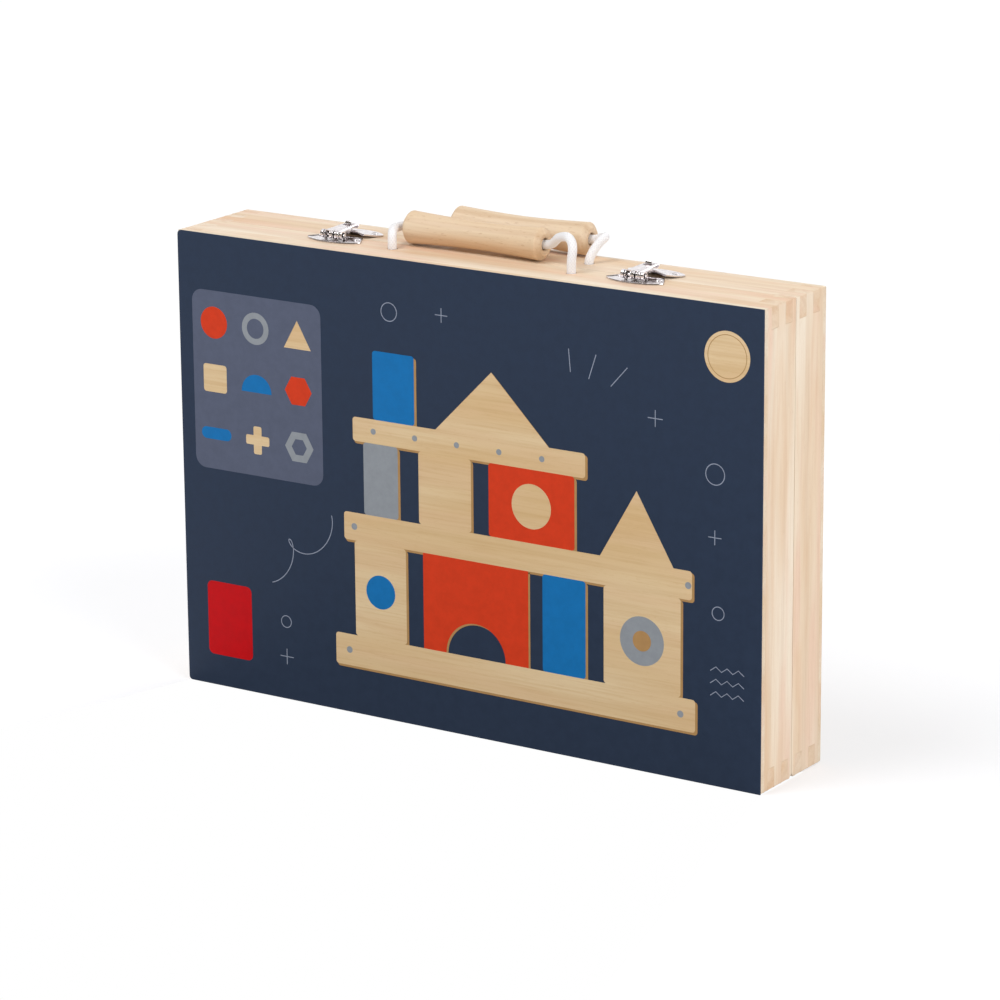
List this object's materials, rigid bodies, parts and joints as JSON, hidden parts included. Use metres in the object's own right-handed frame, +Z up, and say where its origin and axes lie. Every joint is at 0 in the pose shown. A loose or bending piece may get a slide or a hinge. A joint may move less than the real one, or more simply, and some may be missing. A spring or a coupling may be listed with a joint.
{
  "type": "toy tool box",
  "caption": "Flat wooden toy tool case that opens on bottom hinges, with two cord handles, hasps and a set of wooden toy tools held by turn bars",
  "frame": {"origin": "on the floor, under the middle of the closed case and its handles", "axes": "+X along the case to its right end, +Y from the printed front to the back, +Z up"},
  "size_m": [0.33, 0.0616, 0.2479],
  "materials": {
    "pale_wood": "satin lacquered pale poplar",
    "plywood": "sanded 3 mm plywood, bare inside",
    "printed_card": "satin printed card, dark navy ground",
    "nickel": "bright nickel plate",
    "white_cord": "twisted white cotton cord",
    "red_paint": "satin orange-red paint on wood",
    "blue_paint": "satin blue paint on wood",
    "grey_paint": "satin grey paint on wood",
    "silver_paint": "satin silver-grey paint on wood"
  },
  "bodies": {
    "rear_half": {"rear_top_board": "pale_wood", "rear_bottom_board": "pale_wood", "rear_left_board": "pale_wood", "rear_right_board": "pale_wood", "rear_panel": "plywood", "rear_cord_left_end": "white_cord", "rear_cord_right_end": "white_cord", "left_hinge_rear_leaf": "nickel", "left_hinge_pin": "nickel", "left_latch_rear_plate": "nickel", "right_hinge_rear_leaf": "nickel", "right_hinge_pin": "nickel", "right_latch_rear_plate": "nickel", "base_left_bar_post": "pale_wood", "base_right_bar_post": "pale_wood", "base_stop_block": "pale_wood", "hammer_shaft": "pale_wood", "wooden_pliers_rear_arm": "pale_wood", "drill_body": "pale_wood", "red_pliers_rear_arm": "red_paint", "drill_trigger": "red_paint", "hammer_grip": "blue_paint", "drill_side_grip": "blue_paint", "hammer_head": "grey_paint"},
    "front_half": {"front_top_board": "pale_wood", "front_bottom_board": "pale_wood", "front_left_board": "pale_wood", "front_right_board": "pale_wood", "front_panel": "plywood", "front_card": "printed_card", "left_hinge_front_leaf": "nickel", "right_hinge_front_leaf": "nickel", "left_latch_front_plate": "nickel", "right_latch_front_plate": "nickel", "front_cord_left_end": "white_cord", "front_cord_right_end": "white_cord", "lid_left_bar_post": "pale_wood", "lid_right_bar_post": "pale_wood", "lid_centre_block": "pale_wood", "square_blade": "pale_wood", "square_stock": "red_paint", "adjustable_wrench": "pale_wood", "screwdriver_blade": "pale_wood", "screwdriver_handle": "blue_paint", "spanner": "grey_paint", "saw_blade": "pale_wood", "saw_handle": "red_paint"},
    "left_hasp": {"left_hasp": "nickel"},
    "right_hasp": {"right_hasp": "nickel"},
    "front_handle": {"front_grip": "pale_wood", "front_cord": "white_cord"},
    "rear_handle": {"rear_grip": "pale_wood", "rear_cord": "white_cord"},
    "lid_left_bar": {"lid_left_turn_bar": "pale_wood"},
    "lid_right_bar": {"lid_right_turn_bar": "pale_wood"},
    "base_left_bar": {"base_left_turn_bar": "pale_wood"},
    "base_right_bar": {"base_right_turn_bar": "pale_wood"},
    "wooden_pliers_arm": {"wooden_pliers_front_arm": "pale_wood"},
    "red_pliers_arm": {"red_pliers_front_arm": "red_paint"},
    "drill_chuck": {"drill_chuck": "silver_paint"}
  },
  "joints": [
    {"name": "lid_hinge", "type": "hinge", "parent": "rear_half", "child": "front_half", "pos_m": [0, -0.0017, 0.0015], "axis": [1, 0, 0], "range_deg": [0, 105]},
    {"name": "left_hasp_hinge", "type": "hinge", "parent": "front_half", "child": "left_hasp", "pos_m": [-0.085, -0.0122, 0.2332], "axis": [1, 0, 0], "range_deg": [0, 150]},
    {"name": "right_hasp_hinge", "type": "hinge", "parent": "front_half", "child": "right_hasp", "pos_m": [0.085, -0.0122, 0.2332], "axis": [1, 0, 0], "range_deg": [0, 150]},
    {"name": "front_handle_swing", "type": "hinge", "parent": "front_half", "child": "front_handle", "pos_m": [0, -0.0118, 0.238], "axis": [1, 0, 0], "range_deg": [0, 125]},
    {"name": "rear_handle_swing", "type": "hinge", "parent": "rear_half", "child": "rear_handle", "pos_m": [0, 0.0093, 0.241], "axis": [1, 0, 0], "range_deg": [0, 100]},
    {"name": "lid_left_bar_turn", "type": "hinge", "parent": "front_half", "child": "lid_left_bar", "pos_m": [0.0915, -0.0055, 0.1237], "axis": [0, -1, 0], "range_deg": [-90, 90]},
    {"name": "lid_right_bar_turn", "type": "hinge", "parent": "front_half", "child": "lid_right_bar", "pos_m": [-0.076, -0.0055, 0.1237], "axis": [0, -1, 0], "range_deg": [0, 90]},
    {"name": "base_left_bar_turn", "type": "hinge", "parent": "rear_half", "child": "base_left_bar", "pos_m": [0.095, 0.0022, 0.1195], "axis": [0, -1, 0], "range_deg": [0, 90]},
    {"name": "base_right_bar_turn", "type": "hinge", "parent": "rear_half", "child": "base_right_bar", "pos_m": [0.031, 0.0022, 0.1195], "axis": [0, 1, 0], "range_deg": [0, 90]},
    {"name": "wooden_pliers_open", "type": "hinge", "parent": "rear_half", "child": "wooden_pliers_arm", "pos_m": [0.123, 0.0173, 0.114], "axis": [0, -1, 0], "range_deg": [0, 10]},
    {"name": "red_pliers_open", "type": "hinge", "parent": "rear_half", "child": "red_pliers_arm", "pos_m": [-0.003, 0.0173, 0.112], "axis": [0, -1, 0], "range_deg": [0, 10]},
    {"name": "drill_chuck_spin", "type": "hinge", "parent": "rear_half", "child": "drill_chuck", "pos_m": [-0.1305, 0.01225, 0.08], "axis": [0, 0, 1], "continuous": true}
  ]
}
